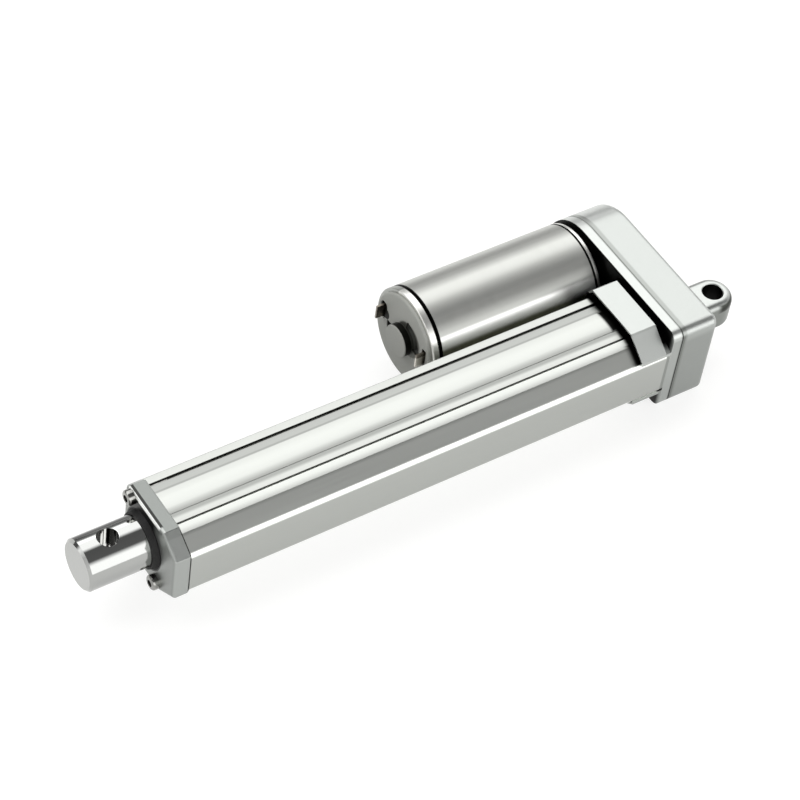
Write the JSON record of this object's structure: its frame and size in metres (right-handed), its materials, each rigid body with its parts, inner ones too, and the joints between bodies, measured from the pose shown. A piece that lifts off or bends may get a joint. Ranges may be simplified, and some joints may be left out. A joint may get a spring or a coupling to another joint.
{
  "type": "electric linear actuator",
  "caption": "Electric linear actuator: a geared motor beside the tube turns a lead screw that drives a round rod out; cross holes at both ends take pivot pins.",
  "frame": {"origin": "centre of the rear pivot hole, on the axis of the rod", "axes": "+X is the way the rod comes out, +Z runs along the pivot holes, and the motor lies on the -Y side"},
  "size_m": [0.2834, 0.0801, 0.04],
  "materials": {
    "tube_aluminium": "clear anodised, satin",
    "cast_paint": "silver grey paint on die castings",
    "gasket_rubber": "matt black",
    "screw_steel": "zinc plated",
    "bush_bronze": "sintered",
    "bush_plastic": "moulded",
    "bearing_steel": "ground",
    "motor_steel": "satin",
    "end_cap_grey": "grey, matt",
    "magnet_ferrite": "sintered ferrite",
    "brush_carbon": "pressed carbon",
    "terminal_brass": "tinned",
    "board_green": "solder mask",
    "switch_black": "moulded",
    "spindle_steel": "turned",
    "gear_plastic": "moulded acetal",
    "rod_chrome": "ground and polished",
    "core_steel": "laminated",
    "winding_copper": "enamelled copper"
  },
  "bodies": {
    "housing": {"outer_tube": "tube_aluminium", "front_cap": "cast_paint", "front_cap_gasket": "gasket_rubber", "front_cap_screws": "screw_steel", "rod_wiper_seal": "gasket_rubber", "rod_guide_bush": "bush_plastic", "gear_housing_front": "cast_paint", "gear_housing_gasket": "gasket_rubber", "gear_housing_rear": "cast_paint", "gear_housing_screws": "screw_steel", "bearing_outer_ring": "bearing_steel", "bearing_balls": "bearing_steel", "bearing_snap_ring": "screw_steel", "screw_rear_bush": "bush_bronze", "idler_pin": "screw_steel", "motor_sleeve": "motor_steel", "motor_can": "motor_steel", "motor_end_cap": "end_cap_grey", "motor_magnets": "magnet_ferrite", "motor_front_bush": "bush_bronze", "motor_rear_bush": "bush_bronze", "motor_brush_holder": "bush_plastic", "motor_brushes": "brush_carbon", "motor_terminals": "terminal_brass", "motor_screws": "screw_steel", "limit_switch_board": "board_green", "limit_switches": "switch_black"},
    "rod": {"extension_rod": "rod_chrome", "drive_nut": "gear_plastic", "nut_lock_pins": "screw_steel"},
    "screw": {"lead_screw": "spindle_steel", "screw_gear": "gear_plastic", "screw_gear_key": "screw_steel", "screw_retaining_ring": "screw_steel", "bearing_inner_ring": "bearing_steel"},
    "idler": {"idler_gear": "gear_plastic"},
    "rotor": {"motor_shaft": "spindle_steel", "motor_pinion": "spindle_steel", "rotor_core": "core_steel", "rotor_windings": "winding_copper", "commutator": "winding_copper"}
  },
  "joints": [
    {"name": "rotor_spin", "type": "hinge", "parent": "housing", "child": "rotor", "pos_m": [0.05, -0.0388, 0], "axis": [-1, 0, 0], "range_deg": [0, 67392.9]},
    {"name": "idler_spin", "type": "hinge", "parent": "housing", "child": "idler", "pos_m": [0.02, -0.0192, 0], "axis": [-1, 0, 0], "range_deg": [-21857.6, 0]},
    {"name": "screw_spin", "type": "hinge", "parent": "housing", "child": "screw", "pos_m": [0.1, 0, 0], "axis": [-1, 0, 0], "range_deg": [0, 9000.5]},
    {"name": "rod_slide", "type": "slide", "parent": "housing", "child": "rod", "axis": [1, 0, 0], "range_m": [0, 0.15001]}
  ],
  "couplings": [
    {"joint": "idler_spin", "follows": "rotor_spin", "ratio": -0.32432},
    {"joint": "screw_spin", "follows": "rotor_spin", "ratio": 0.13355},
    {"joint": "rod_slide", "follows": "rotor_spin", "m_per_rad": 0.00012753}
  ]
}
